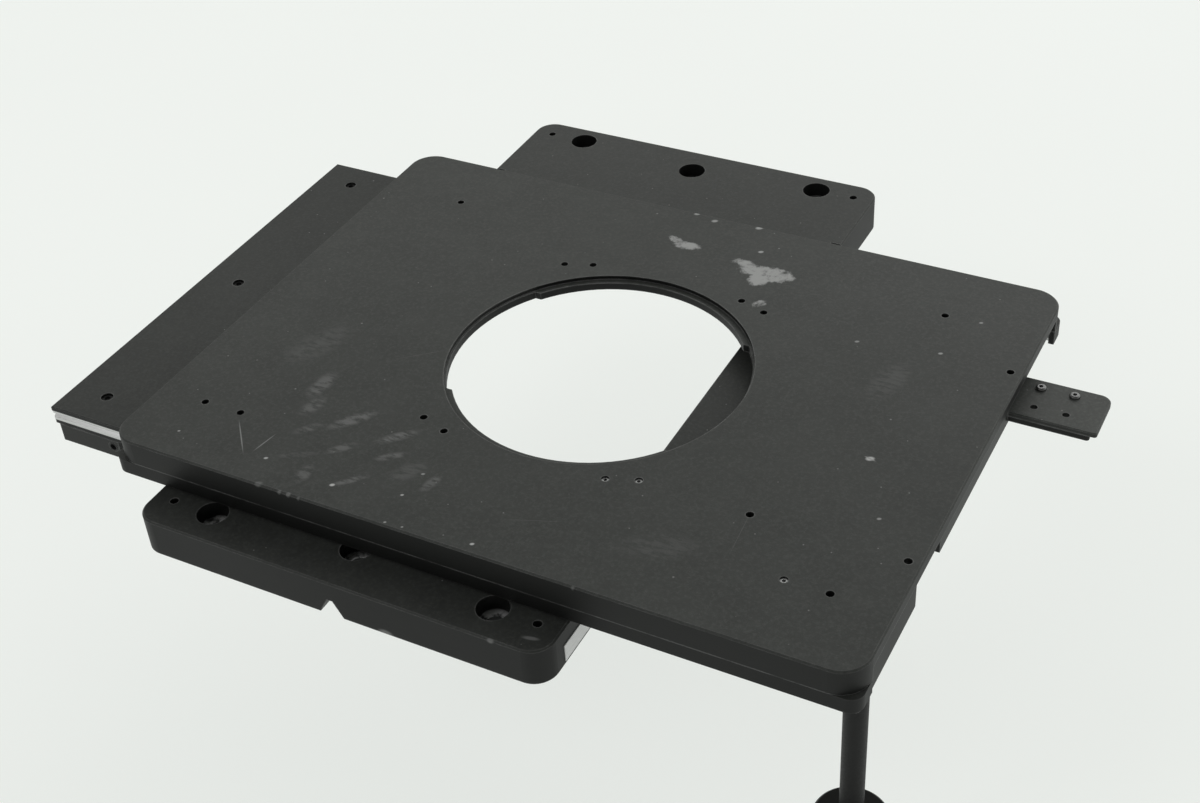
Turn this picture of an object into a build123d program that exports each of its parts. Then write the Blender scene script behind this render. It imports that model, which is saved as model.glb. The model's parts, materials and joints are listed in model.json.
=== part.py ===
from build123d import *
import math
import os

# Three-plate mechanical XY stage of an inverted microscope, millimetres.
# Origin: centre of the base's screw pattern at its underside, +Z up, +Y to the back, +X to the right.
# The base stays still, the middle carriage slides along Y on it, and the top plate slides along X.

# Base plate
BASE_WIDTH = 156.6
BASE_FRONT = -144.3
BASE_BACK = 141.6
BASE_TOP = 14.0
BASE_CORNER = 8.0
BASE_OPENING = (140.0, 160.0)
MOUNT_PITCH = 54.0
MOUNT_ROW_OUTER = 132.0
MOUNT_ROW_MIDDLE = 127.0
MOUNT_HOLE_R = 3.3
MOUNT_BORE_R = 5.5
MOUNT_BORE_DEPTH = 6.5
PIN_HOLE = (69.9, 132.3)
PIN_HOLE_R = 1.5
PIN_HOLE_DEPTH = 6.0
NOTCH_WIDTH = 9.0
NOTCH_TIP = 2.0
NOTCH_HEIGHT = 6.3
NOTCH_DEPTH = 16.0

# Where the stage stands: the carriage's centre from the base's, the top plate's from the carriage's
MID_X = 1.6
REST_X = 35.2
REST_Y = -26.5

# Middle carriage, x and y measured from its own centre
MID_LEFT = -137.2
MID_RIGHT = 167.0
MID_HALF = 90.0
MID_BOTTOM = 14.8
MID_TOP = 20.5
MID_OPENING_LEFT = -73.0
MID_OPENING_RIGHT = 71.2
MID_OPENING_FRONT = -58.0
MID_OPENING_BACK = 68.0
COVER_THICK = 1.8
COVER_WIDTH = 42.2
COVER_SCREW_X = -122.0
COVER_SCREW_Y = 77.5
COVER_SCREW_R = 2.2

# Top plate, x and y measured from its own centre
TOP_WIDTH = 270.0
TOP_DEPTH = 203.0
TOP_CORNER = 10.0
TOP_FACE = 30.0
TOP_UNDERSIDE = 25.5
LIP_BOTTOM = 20.5
LIP_WIDTH = 10.4
BAR_BOTTOM = 15.0
BAR_WIDTH = 4.6
BAR_CORNER = 4.5
SEAT_R = 54.0
SEAT_DEPTH = 1.6
LEDGE_R = 51.5
LEDGE_SIDE_R = 53.3
LEDGE_CUT_HALF = 31.5
EDGE_CHAMFER = 0.6

# Crossed roller guides
RAIL_WIDTH = 6.0
RAIL_HEIGHT = 4.1
RAIL_GAP = 1.2
ROLLER_R = 0.97
ROLLER_LENGTH = 1.8
GROOVE_DEPTH = math.sqrt(2.0) - RAIL_GAP / 2
ROLLER_PITCH = 10.0
X_RAIL_BOTTOM = 16.4
X_INNER_FACE = 89.7
X_OUTER_HALF = 133.0
X_CAGE_LENGTH = 200.0
Y_RAIL_BOTTOM = 7.7
Y_RAIL_X = 74.0
Y_RAIL_HALF = 98.0
Y_OUTER_HALF = 88.0
Y_CAGE_LENGTH = 150.0
CAGE_THICK = 0.5
CAGE_HEIGHT = 3.4
RAIL_HOLE_R = 1.3
RAIL_HEAD_R = 2.2
RAIL_HEAD_DEPTH = 2.2

# Handle column and drives
COLUMN_X = 157.5
COLUMN_Y = -67.5
TUBE_R = 4.1
TUBE_BORE_R = 3.5
SLEEVE_R = 3.0
SLEEVE_BORE_R = 2.05
SHAFT_R = 2.0
RUN_GAP = 0.05
FLANGE_R = 6.5
FLANGE_THICK = 1.6
KNOB_TOP = -74.0
Y_KNOB_R = 13.0
Y_KNOB_HEIGHT = 18.0
X_KNOB_R = 11.0
X_KNOB_HEIGHT = 24.0
KNOB_GAP = 0.6
GEAR_MODULE = 0.8
GEAR_TEETH = 14
GEAR_BOTTOM = 1.0
GEAR_TOP = 5.6
TOOTH_BACKLASH = 0.24
PULLEY_R = 5.0
PULLEY_BOTTOM = 21.0
PULLEY_TOP = 24.0
IDLER_X = -88.0
BELT_THICK = 1.2
BELT_BOTTOM = 21.3
BELT_TOP = 23.7

# Rack bracket on the right side of the base
RACK_ARM_Y = (REST_Y - 72.0, REST_Y - 13.0)
RACK_SCREW_Y = (RACK_ARM_Y[0] + 8.0, RACK_ARM_Y[1] - 8.0)
RACK_SCREW_Z = 3.9
PITCH_R = GEAR_MODULE * GEAR_TEETH / 2
RACK_PITCH_X = MID_X + COLUMN_X - PITCH_R
RACK_BACK_X = RACK_PITCH_X - 5.6

# Blank plate on the right side of the base
LABEL_Y = (BASE_FRONT + 12.4, BASE_FRONT + 34.0)
LABEL_Z = (1.0, 7.6)

# Rubber stops in the left beam, and the beams that carry the outer Y rails
BEAM_BOTTOM = 7.5
STOP_X = -111.5
STOP_Z = 11.9
STOP_R = 2.4
BEAM_X = (81.9, 96.5)

# Side bracket on the right end of the carriage, x and y from the carriage's centre
BRACKET_THICK = 1.6
FLANGE_Y = (-27.8, 62.4)
TAB_Y = (41.0, 62.4)
TAB_RIGHT = 198.6
TAB_CORNER = 4.0
TAB_THICK = 1.75
STIFFENER_THICK = 2.1
TAB_SCREWS = ((175.0, 57.7), (186.6, 57.7))
TAB_HOLES = ((175.7, 47.0), (186.6, 47.0))
TAB_HOLE_R = 1.25

# Drive housing under the right end of the carriage
BUSH_OUTER_R = 3.6
HOUSING_X = (140.5, 165.4)
HOUSING_Y = (-88.0, -37.0)
HOUSING_SPLIT = 7.4
HOUSING_SCREW_Y = (COLUMN_Y - 14.0, COLUMN_Y + 24.0)
POCKET_R = 7.0
GUARD_X = (98.0, MID_RIGHT)
GUARD_TOP = 25.0

# Holes in the top plate, from its own centre
TOP_HOLES = (
    [(sx * 40.5, sy * 50.0) for sx in (-1, 1) for sy in (-1, 1)]
    + [(sx * 30.3, sy * 53.6) for sx in (-1, 1) for sy in (-1, 1)]
    + [(sx * 100.0, sy * 73.0) for sx in (-1, 1) for sy in (-1, 1)]
    + [(-115.0, -73.0), (114.6, -73.0), (130.6, 50.3), (130.6, -50.7), (79.3, -50.7)]
)
GRUB_HOLES = ((30.3, -53.6), (40.5, -50.0), (100.0, -73.0))
TOP_HOLE_R = 1.35
BAR_SCREW_X = [-110.0 + 44.0 * k for k in range(6)]

# Clamp that joins the drive belt to the top plate
CLAMP_Y = COLUMN_Y - PULLEY_R - 3.2
CLAMP_HALF = 10.0
CLAMP_SCREW_X = (-6.0, 6.0)

PARTS = {}


def block(x0, x1, y0, y1, z0, z1):
    """Box given by its two opposite corners."""
    return Pos((x0 + x1) / 2, (y0 + y1) / 2, (z0 + z1) / 2) * Box(x1 - x0, y1 - y0, z1 - z0)


def slab(x0, x1, y0, y1, z0, z1, radius):
    """Box with rounded vertical corners."""
    outline = RectangleRounded(x1 - x0, y1 - y0, radius)
    return Pos((x0 + x1) / 2, (y0 + y1) / 2, z0) * extrude(outline, z1 - z0)


def drum(x, y, z0, z1, radius):
    """Upright cylinder."""
    return Pos(x, y, (z0 + z1) / 2) * Cylinder(radius, z1 - z0)


def cone(x, y, z0, z1, bottom_radius, top_radius):
    """Upright cone, given by its radius at each end."""
    return Pos(x, y, (z0 + z1) / 2) * Cone(bottom_radius, top_radius, z1 - z0)


def rod_x(x0, x1, y, z, radius):
    """Cylinder lying along X."""
    return Pos((x0 + x1) / 2, y, z) * Rot(0, 90, 0) * Cylinder(radius, x1 - x0)


def rod_y(y0, y1, x, z, radius):
    """Cylinder lying along Y."""
    return Pos(x, (y0 + y1) / 2, z) * Rot(90, 0, 0) * Cylinder(radius, y1 - y0)


def at_middle(shape):
    """Place a shape drawn about the middle carriage's centre."""
    return Pos(MID_X, REST_Y, 0) * shape


def on_base_line(shape):
    """Place a piece of the carriage's Y guide, which is centred on the base."""
    return Pos(0, REST_Y, 0) * shape


def at_top(shape):
    """Place a shape drawn about the top plate's centre."""
    return Pos(MID_X + REST_X, REST_Y, 0) * shape


def chamfer_top(body, z, size):
    """Chamfer the edges that lie flat at height z."""
    edges = body.edges().filter_by(lambda e: abs(e.bounding_box().min.Z - z) < 0.01
                                   and abs(e.bounding_box().max.Z - z) < 0.01)
    return chamfer(edges, size)


def socket_screw(x, y, z_seat, head_r, head_height, shank_r, shank_length):
    """Cap screw standing on z_seat, head up, with its hex socket."""
    screw = drum(x, y, z_seat, z_seat + head_height, head_r)
    screw += drum(x, y, z_seat - shank_length, z_seat, shank_r)
    socket = Pos(x, y, z_seat + head_height * 0.4) * extrude(RegularPolygon(head_r * 0.5, 6), head_height)
    return screw - socket


def group(shapes):
    """Several separate solids in one node."""
    solids = []
    for shape in shapes:
        solids.extend(shape.solids())
    return Compound(solids)


def keep(name, shape):
    PARTS[name] = shape


# ---------------------------------------------------------------- guides

def grooved_rail(x0, x1):
    """Guide rail along X from x0 to x1, its V groove facing +Y, its back face on y = 0."""
    half = RAIL_HEIGHT / 2
    groove = GROOVE_DEPTH
    outline = Polyline((0, 0), (RAIL_WIDTH, 0), (RAIL_WIDTH, half - groove),
                       (RAIL_WIDTH - groove, half), (RAIL_WIDTH, half + groove),
                       (RAIL_WIDTH, RAIL_HEIGHT), (0, RAIL_HEIGHT), close=True)
    face = Plane.YZ * make_face(outline)
    return Pos(x0, 0, 0) * extrude(face, x1 - x0)


def rail_stations(x0, x1):
    """Screw places along a rail, evenly spaced."""
    count = max(2, round((x1 - x0) / 50.0))
    step = (x1 - x0) / count
    return [x0 + step * (k + 0.5) for k in range(count)]


def rail_with_holes(x0, x1, heads_up):
    """Grooved rail with counterbored screw holes that open up or down."""
    rail = grooved_rail(x0, x1)
    y = RAIL_WIDTH * 0.4
    if heads_up:
        head_range = (RAIL_HEIGHT - RAIL_HEAD_DEPTH, RAIL_HEIGHT)
    else:
        head_range = (0.0, RAIL_HEAD_DEPTH)
    for x in rail_stations(x0, x1):
        rail -= drum(x, y, 0, RAIL_HEIGHT, RAIL_HOLE_R)
        rail -= drum(x, y, head_range[0], head_range[1], RAIL_HEAD_R)
    return rail


def rail_screws(x0, x1, heads_up, shank=4.8):
    """Cap screws that fill the rail's counterbores, drawn in the rail's own frame."""
    screws = []
    y = RAIL_WIDTH * 0.4
    for x in rail_stations(x0, x1):
        screw = socket_screw(x, y, 0, RAIL_HEAD_R - 0.2, 1.9, RAIL_HOLE_R - 0.15, shank)
        if heads_up:
            screw = Pos(0, 0, RAIL_HEIGHT - RAIL_HEAD_DEPTH) * screw
        else:
            screw = Pos(0, 0, RAIL_HEAD_DEPTH) * mirror(screw, Plane.XY)
        screws.append(screw)
    return screws


def screw_holes_x(x0, x1, z, depth):
    """Tapped holes for a rail's screws, going up from z when depth is positive."""
    y = RAIL_WIDTH * 0.4
    low, high = min(z, z + depth), max(z, z + depth)
    return [drum(x, y, low, high, RAIL_HOLE_R - 0.15) for x in rail_stations(x0, x1)]


def crossed_rollers(length, centre_z):
    """Rollers along X in the square channel at y = 0, their axes crossed in turn."""
    count = int(length / ROLLER_PITCH)
    rollers = []
    for k in range(count):
        x = (k - (count - 1) / 2) * ROLLER_PITCH
        tilt = 45 if k % 2 else -45
        rollers.append(Pos(x, 0, centre_z) * Rot(tilt, 0, 0) * Cylinder(ROLLER_R, ROLLER_LENGTH))
    return rollers


def roller_cage(length, centre_z):
    """Thin strip that spaces the rollers, with one window for each."""
    cage = block(-length / 2, length / 2, -CAGE_THICK / 2, CAGE_THICK / 2,
                 centre_z - CAGE_HEIGHT / 2, centre_z + CAGE_HEIGHT / 2)
    count = int(length / ROLLER_PITCH)
    for k in range(count):
        x = (k - (count - 1) / 2) * ROLLER_PITCH
        cage -= block(x - 1.1, x + 1.1, -1, 1, centre_z - 1.45, centre_z + 1.45)
    return cage


def front_face_rail(shape, y_back):
    """Put a rail drawn along X so that its groove faces -Y and its back is at y_back."""
    return Pos(0, y_back, 0) * mirror(shape, Plane.XZ)


def to_y_axis(shape, x_back, side):
    """Turn a rail drawn along X to run along Y, groove facing side (+1 right, -1 left)."""
    turned = Rot(0, 0, -90) * shape
    if side < 0:
        turned = mirror(turned, Plane.YZ)
    return Pos(x_back, 0, 0) * turned


# ---------------------------------------------------------------- base

def base_plate():
    width = BASE_WIDTH / 2
    plate = slab(-width, width, BASE_FRONT, BASE_BACK, 0, BASE_TOP, BASE_CORNER)
    plate = chamfer_top(plate, BASE_TOP, EDGE_CHAMFER)
    open_x, open_y = BASE_OPENING[0] / 2, BASE_OPENING[1] / 2
    plate -= slab(-open_x, open_x, -open_y, open_y, -1, BASE_TOP + 1, BASE_CORNER)
    for end in (-1, 1):
        for column in (-1, 0, 1):
            row = MOUNT_ROW_OUTER if column else MOUNT_ROW_MIDDLE
            x, y = column * MOUNT_PITCH, end * row
            plate -= drum(x, y, -1, BASE_TOP + 1, MOUNT_HOLE_R)
            plate -= drum(x, y, BASE_TOP - MOUNT_BORE_DEPTH, BASE_TOP + 1, MOUNT_BORE_R)
        for side in (-1, 1):
            plate -= drum(side * PIN_HOLE[0], end * PIN_HOLE[1], BASE_TOP - PIN_HOLE_DEPTH,
                          BASE_TOP + 1, PIN_HOLE_R)
    plate -= front_notch()
    for side in (-1, 1):
        for tool in base_rail_seat(width):
            plate -= tool if side > 0 else mirror(tool, Plane.YZ)
    for y in RACK_SCREW_Y:
        plate -= rod_x(width - 6, width + 1, y, RACK_SCREW_Z, 1.25)
    return plate


def front_notch():
    """Small notch in the underside at the middle of the front edge."""
    outline = Polyline((-NOTCH_WIDTH / 2, 0), (NOTCH_WIDTH / 2, 0), (NOTCH_TIP / 2, NOTCH_HEIGHT),
                       (-NOTCH_TIP / 2, NOTCH_HEIGHT), close=True)
    notch = extrude(Plane.XZ * make_face(outline), -NOTCH_DEPTH)
    return Pos(0, BASE_FRONT, 0) * notch


def base_rail_seat(width):
    """Cutters for the right-hand rail: its shelf and its tapped holes."""
    shelf = block(Y_RAIL_X, width + 1, -Y_RAIL_HALF, Y_RAIL_HALF, Y_RAIL_BOTTOM, BASE_TOP + 1)
    holes = screw_holes_x(-Y_RAIL_HALF, Y_RAIL_HALF, Y_RAIL_BOTTOM, -3.4)
    return [shelf] + [Pos(Y_RAIL_X, 0, 0) * Rot(0, 0, -90) * hole for hole in holes]


def base_guides():
    raw = Pos(0, 0, Y_RAIL_BOTTOM) * rail_with_holes(-Y_RAIL_HALF, Y_RAIL_HALF, True)
    screws = []
    for side, name in ((-1, "left"), (1, "right")):
        keep("y_rail_base_" + name, to_y_axis(raw, side * Y_RAIL_X, side))
        for screw in rail_screws(-Y_RAIL_HALF, Y_RAIL_HALF, True):
            screws.append(to_y_axis(Pos(0, 0, Y_RAIL_BOTTOM) * screw, side * Y_RAIL_X, side))
    keep("y_rail_base_screws", group(screws))


def rack_bracket():
    side = BASE_WIDTH / 2
    y0, y1 = RACK_ARM_Y
    arm = block(side, RACK_BACK_X, y0, y1, 0.5, 3.0)
    arm += block(side, side + 3.0, y0, y1, 0.5, 7.2)
    for y in (y0, y1 - 2.0):
        gusset = Polyline((side + 3.0, 3.0), (side + 11.0, 3.0), (side + 3.0, 7.0), close=True)
        arm += Pos(0, y + 2.0, 0) * extrude(Plane.XZ * make_face(gusset), 2.0)
    arm += block(RACK_BACK_X - 6.0, RACK_BACK_X, y0, y1, 0.5, 5.6)
    for y in RACK_SCREW_Y:
        arm -= rod_x(side - 1, side + 4, y, RACK_SCREW_Z, 1.6)
        arm -= rod_x(side + 3.0, side + 8.0, y, RACK_SCREW_Z, 2.8)
        arm -= rod_x(RACK_BACK_X - 7, RACK_BACK_X + 1, y, 3.3, 1.1)
        arm -= rod_x(RACK_BACK_X - 10.0, RACK_BACK_X - 6.0, y, 3.3, 2.1)
    return arm


def rack_bracket_screws():
    side = BASE_WIDTH / 2
    screws = []
    for y in RACK_SCREW_Y:
        screw = rod_x(side - 5.5, side + 3.0, y, RACK_SCREW_Z, 1.25)
        screw += rod_x(side + 3.0, side + 5.6, y, RACK_SCREW_Z, 2.6)
        screw -= rod_x(side + 4.2, side + 6.0, y, RACK_SCREW_Z, 1.2)
        screws.append(screw)
        back = rod_x(RACK_BACK_X - 6.0, RACK_BACK_X + 2.2, y, 3.3, 1.0)
        back += rod_x(RACK_BACK_X - 7.6, RACK_BACK_X - 6.0, y, 3.3, 1.9)
        screws.append(back)
    return group(screws)


def y_rack():
    """Straight rack whose teeth point to +X, in mesh with the handle's pinion."""
    pitch = math.pi * GEAR_MODULE
    count = int((RACK_ARM_Y[1] - RACK_ARM_Y[0]) / pitch) - 1
    root_x = RACK_PITCH_X - GEAR_MODULE
    tip_x = RACK_PITCH_X + GEAR_MODULE * 0.85
    tooth = pitch / 2 - TOOTH_BACKLASH
    lean = math.tan(math.radians(20)) * GEAR_MODULE
    centre = REST_Y + COLUMN_Y
    below = int((centre - RACK_ARM_Y[0]) / pitch) - 1
    points = []
    for k in range(-below, count - below):
        y = centre + k * pitch
        points += [(root_x, y - tooth / 2 - lean), (tip_x, y - tooth / 2 + lean * 0.85),
                   (tip_x, y + tooth / 2 - lean * 0.85), (root_x, y + tooth / 2 + lean)]
    start = (RACK_BACK_X, points[0][1] - 0.6)
    end = (RACK_BACK_X, points[-1][1] + 0.6)
    outline = Polyline(start, (root_x, start[1]), *points, (root_x, end[1]), end, close=True)
    rack = Pos(0, 0, GEAR_BOTTOM) * extrude(make_face(outline), GEAR_TOP - GEAR_BOTTOM)
    for y in RACK_SCREW_Y:
        rack -= rod_x(RACK_BACK_X - 1, RACK_BACK_X + 2.4, y, 3.3, 1.05)
    return rack


def name_plate():
    """Blank plate stuck to the right side of the base near its front corner."""
    side = BASE_WIDTH / 2
    return block(side, side + 0.25, LABEL_Y[0], LABEL_Y[1], LABEL_Z[0], LABEL_Z[1])


# ---------------------------------------------------------------- middle carriage

def middle_plate():
    plate = block(MID_LEFT, MID_RIGHT, -MID_HALF, MID_HALF, MID_BOTTOM, MID_TOP)
    plate -= slab(MID_OPENING_LEFT, MID_OPENING_RIGHT, MID_OPENING_FRONT, MID_OPENING_BACK,
                  MID_BOTTOM - 1, MID_TOP + 1, 6)
    inner = X_INNER_FACE - RAIL_WIDTH
    for side in (-1, 1):
        rebate = block(MID_LEFT - 1, MID_RIGHT + 1, inner, MID_HALF + 1, X_RAIL_BOTTOM, MID_TOP + 1)
        step = block(MID_LEFT - 1, MID_RIGHT + 1, X_INNER_FACE - 0.1, MID_HALF + 1,
                     MID_BOTTOM - 1, MID_TOP)
        holes = [Pos(0, inner, 0) * hole for hole in
                 screw_holes_x(MID_LEFT, MID_RIGHT - 0.5, MID_BOTTOM - 1, 3.0)]
        for tool in [rebate, step] + holes:
            plate -= tool if side > 0 else mirror(tool, Plane.XZ)
    for y in (-COVER_SCREW_Y, 0, COVER_SCREW_Y):
        plate -= drum(COVER_SCREW_X, y, MID_TOP - 4, MID_TOP + 1, 1.25)
    plate -= drum(COLUMN_X, COLUMN_Y, MID_BOTTOM - 1, MID_TOP + 1, BUSH_OUTER_R)
    for y in HOUSING_SCREW_Y:
        plate -= drum(COLUMN_X - 1, y, MID_BOTTOM - 1, MID_BOTTOM + 1.6, 1.5)
    plate -= drum(IDLER_X, COLUMN_Y, MID_BOTTOM - 1, MID_TOP + 1, 1.5)
    return at_middle(plate)


def x_inner_rails():
    rail = Pos(0, 0, X_RAIL_BOTTOM) * rail_with_holes(MID_LEFT, MID_RIGHT - 0.5, True)
    screws = rail_screws(MID_LEFT, MID_RIGHT - 0.5, True, 3.4)
    inner = X_INNER_FACE - RAIL_WIDTH
    placed = [Pos(0, inner, X_RAIL_BOTTOM) * screw for screw in screws]
    keep("x_rail_inner_back", at_middle(Pos(0, inner, 0) * rail))
    keep("x_rail_inner_front", at_middle(mirror(Pos(0, inner, 0) * rail, Plane.XZ)))
    mirrored = [mirror(screw, Plane.XZ) for screw in placed]
    keep("x_rail_inner_screws", at_middle(group(placed + mirrored)))


def left_cover():
    """Thin cover over the left end of the carriage, with a deep hole for each screw."""
    cover = block(MID_LEFT, MID_LEFT + COVER_WIDTH, -MID_HALF, MID_HALF, MID_TOP, MID_TOP + COVER_THICK)
    cover = chamfer_top(cover, MID_TOP + COVER_THICK, 0.3)
    for y in (-COVER_SCREW_Y, 0, COVER_SCREW_Y):
        cover -= drum(COVER_SCREW_X, y, MID_TOP - 1, MID_TOP + COVER_THICK + 1, 1.4)
        cover -= drum(COVER_SCREW_X, y, MID_TOP + 0.4, MID_TOP + COVER_THICK + 1, COVER_SCREW_R)
    return at_middle(cover)


def cover_screws():
    """Low-head screws, sunk under the cover's face."""
    screws = []
    for y in (-COVER_SCREW_Y, 0, COVER_SCREW_Y):
        seat = MID_TOP + 0.4
        screw = drum(COVER_SCREW_X, y, seat, seat + 0.7, COVER_SCREW_R - 0.25)
        screw += drum(COVER_SCREW_X, y, MID_TOP - 3.6, seat, 1.15)
        screw -= Pos(COVER_SCREW_X, y, seat + 0.1) * extrude(RegularPolygon(1.2, 6), 1)
        screws.append(screw)
    return at_middle(group(screws))


def left_beam():
    """Stiffening bar hung under the left end of the middle plate, its lower inner edge rounded."""
    bar = block(MID_LEFT + 1.6, STOP_X + STOP_R, -MID_HALF + 0.3, MID_HALF - 0.3, BEAM_BOTTOM, MID_BOTTOM)
    inner_edge = bar.edges().filter_by(Axis.Y).group_by(Axis.Z)[0].group_by(Axis.X)[-1]
    bar = fillet(inner_edge, STOP_R)
    for y in (-1, 1):
        bar -= rod_y(y * (MID_HALF - 6) - 7, y * (MID_HALF - 6) + 7, STOP_X - 0.4, STOP_Z, STOP_R - 0.5)
    return at_middle(bar)


def stop_buffers():
    """Rubber buffers let into the ends of the left beam, hollow at the tip."""
    buffers = []
    for side in (-1, 1):
        face = side * (MID_HALF - 0.2)
        x, radius = STOP_X - 0.4, STOP_R - 0.5
        core = rod_y(min(face, face - side * 12), max(face, face - side * 12), x, STOP_Z, radius)
        tip = rod_y(min(face, face - side * 3), max(face, face - side * 3), x, STOP_Z, radius - 0.6)
        buffers.append(core - tip)
    return at_middle(group(buffers))


def y_beam(side):
    """Bar under the middle plate that carries an outer Y rail."""
    rail_back = Y_RAIL_X + 2 * RAIL_WIDTH + RAIL_GAP
    beam = block(BEAM_X[0], BEAM_X[1], -Y_OUTER_HALF, Y_OUTER_HALF, Y_RAIL_BOTTOM + RAIL_HEIGHT, MID_BOTTOM)
    beam += block(rail_back, BEAM_X[1], -Y_OUTER_HALF, Y_OUTER_HALF, Y_RAIL_BOTTOM - 0.3, MID_BOTTOM)
    holes = screw_holes_x(-Y_OUTER_HALF, Y_OUTER_HALF, Y_RAIL_BOTTOM + RAIL_HEIGHT, 3.0)
    for hole in holes:
        beam -= to_y_axis(hole, rail_back, -1)
    return on_base_line(beam if side > 0 else mirror(beam, Plane.YZ))


def y_outer_rails():
    rail_back = Y_RAIL_X + 2 * RAIL_WIDTH + RAIL_GAP
    rail = Pos(0, 0, Y_RAIL_BOTTOM) * rail_with_holes(-Y_OUTER_HALF, Y_OUTER_HALF, False)
    screws = []
    for side, name in ((-1, "left"), (1, "right")):
        keep("y_beam_" + name, y_beam(side))
        keep("y_rail_outer_" + name, on_base_line(to_y_axis(rail, side * rail_back, -side)))
        for screw in rail_screws(-Y_OUTER_HALF, Y_OUTER_HALF, False):
            screws.append(to_y_axis(Pos(0, 0, Y_RAIL_BOTTOM) * screw, side * rail_back, -side))
    keep("y_rail_outer_screws", on_base_line(group(screws)))


def tab_outline(left, right, y0, y1, radius, z0, z1):
    """Flat tab with its two outer corners rounded."""
    tab = block(left, right, y0, y1, z0, z1)
    corners = tab.edges().filter_by(Axis.Z).group_by(Axis.X)[-1].sort_by(Axis.Y)
    tab = fillet(corners[-1], radius)
    front = tab.edges().filter_by(Axis.Z).filter_by(lambda e: abs(e.center().X - right) < 0.01
                                                    and abs(e.center().Y - y0) < 0.01)
    return fillet(front, 1.0)


def side_bracket():
    """Flange on the end of the middle plate with the tab that stands out from it."""
    low = MID_TOP - TAB_THICK
    tab = tab_outline(MID_RIGHT, TAB_RIGHT, TAB_Y[0], TAB_Y[1], TAB_CORNER, low, MID_TOP)
    tab = chamfer_top(tab, MID_TOP, 0.35)
    tab += block(MID_RIGHT, MID_RIGHT + BRACKET_THICK, FLANGE_Y[0], FLANGE_Y[1], MID_BOTTOM, MID_TOP)
    for x, y in TAB_SCREWS + TAB_HOLES:
        tab -= drum(x, y, low - 1, MID_TOP + 1, TAB_HOLE_R)
    return at_middle(tab)


def side_bracket_stiffener():
    """Shorter plate under the tab."""
    high = MID_TOP - TAB_THICK
    bar = tab_outline(MID_RIGHT + BRACKET_THICK, TAB_RIGHT - 2.4, TAB_Y[0] + 0.1, TAB_Y[1] - 0.6,
                      TAB_CORNER - 0.4, high - STIFFENER_THICK, high)
    for x, y in TAB_SCREWS + TAB_HOLES:
        bar -= drum(x, y, high - STIFFENER_THICK - 1, high + 1, TAB_HOLE_R)
    return at_middle(bar)


def side_bracket_screws():
    """Small button-head screws."""
    screws = []
    for x, y in TAB_SCREWS:
        head = drum(x, y, MID_TOP, MID_TOP + 1.0, 1.85)
        head = fillet(head.edges().group_by(Axis.Z)[-1], 0.7)
        screw = head + drum(x, y, MID_TOP - 4.2, MID_TOP, TAB_HOLE_R - 0.1)
        screws.append(screw - Pos(x, y, MID_TOP + 0.35) * extrude(RegularPolygon(0.8, 6), 1))
    return at_middle(group(screws))


# ---------------------------------------------------------------- drive housing and column

def drive_housing():
    x0, x1 = HOUSING_X
    y0, y1 = HOUSING_Y
    body = slab(x0, x1, y0, y1, HOUSING_SPLIT, MID_BOTTOM, 2.0)
    body += slab(COLUMN_X - PITCH_R + 1.6, x1, y0, y1, 0, HOUSING_SPLIT, 2.0)
    body -= drum(COLUMN_X, COLUMN_Y, 0.6, HOUSING_SPLIT, POCKET_R)
    body -= block(x0 - 1, COLUMN_X, COLUMN_Y - 9, COLUMN_Y + 9, 0.6, HOUSING_SPLIT)
    body -= drum(COLUMN_X, COLUMN_Y, HOUSING_SPLIT - 1, 11.0, 4.5)
    body -= drum(COLUMN_X, COLUMN_Y, 10, MID_BOTTOM + 1, SHAFT_R + 0.4)
    body -= drum(COLUMN_X, COLUMN_Y, -1, 1, TUBE_R)
    for y in HOUSING_SCREW_Y:
        body -= drum(COLUMN_X - 1, y, -1, 4.0, 2.6)
        body -= drum(COLUMN_X - 1, y, 3, MID_BOTTOM + 1, 1.6)
    return at_middle(body)


def housing_screws():
    screws = []
    for y in HOUSING_SCREW_Y:
        screw = mirror(socket_screw(COLUMN_X - 1, y, 0, 2.5, 2.6, 1.5, 12.0), Plane.XY)
        screws.append(Pos(0, 0, 4.0) * screw)
    return at_middle(group(screws))


def polar(x, y, radius, degrees):
    turn = math.radians(degrees)
    return x + radius * math.cos(turn), y + radius * math.sin(turn)


def flange_screw_places():
    return [polar(COLUMN_X, COLUMN_Y, FLANGE_R - 1.2, angle) for angle in (60, 180, 300)]


def column_tube():
    """Fixed tube that hangs from the housing, with its flange on top."""
    tube = drum(COLUMN_X, COLUMN_Y, KNOB_TOP - 7.0, 0.6, TUBE_R)
    tube += drum(COLUMN_X, COLUMN_Y, -FLANGE_THICK, 0, FLANGE_R)
    tube -= drum(COLUMN_X, COLUMN_Y, KNOB_TOP - 8.0, 1, TUBE_BORE_R)
    for x, y in flange_screw_places():
        tube -= drum(x, y, -FLANGE_THICK - 1, 0, 0.6)
    return at_middle(tube)


def column_screws():
    screws = []
    for x, y in flange_screw_places():
        screw = drum(x, y, -FLANGE_THICK - 0.6, -FLANGE_THICK, 1.1)
        screws.append(screw + drum(x, y, -FLANGE_THICK, 0, 0.55))
    return at_middle(group(screws))


def ring(z0, z1, outer, inner):
    bush = drum(COLUMN_X, COLUMN_Y, z0, z1, outer)
    return at_middle(bush - drum(COLUMN_X, COLUMN_Y, z0 - 1, z1 + 1, inner))


def bushes():
    keep("sleeve_bush_upper", ring(HOUSING_SPLIT, 11.0, 4.5, SLEEVE_R + RUN_GAP))
    keep("sleeve_bush_lower", ring(KNOB_TOP - 6.8, KNOB_TOP + 3.0, TUBE_BORE_R, SLEEVE_R + RUN_GAP))
    keep("shaft_bush_top", ring(MID_BOTTOM + 0.2, MID_TOP, BUSH_OUTER_R, SHAFT_R + RUN_GAP))


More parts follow.
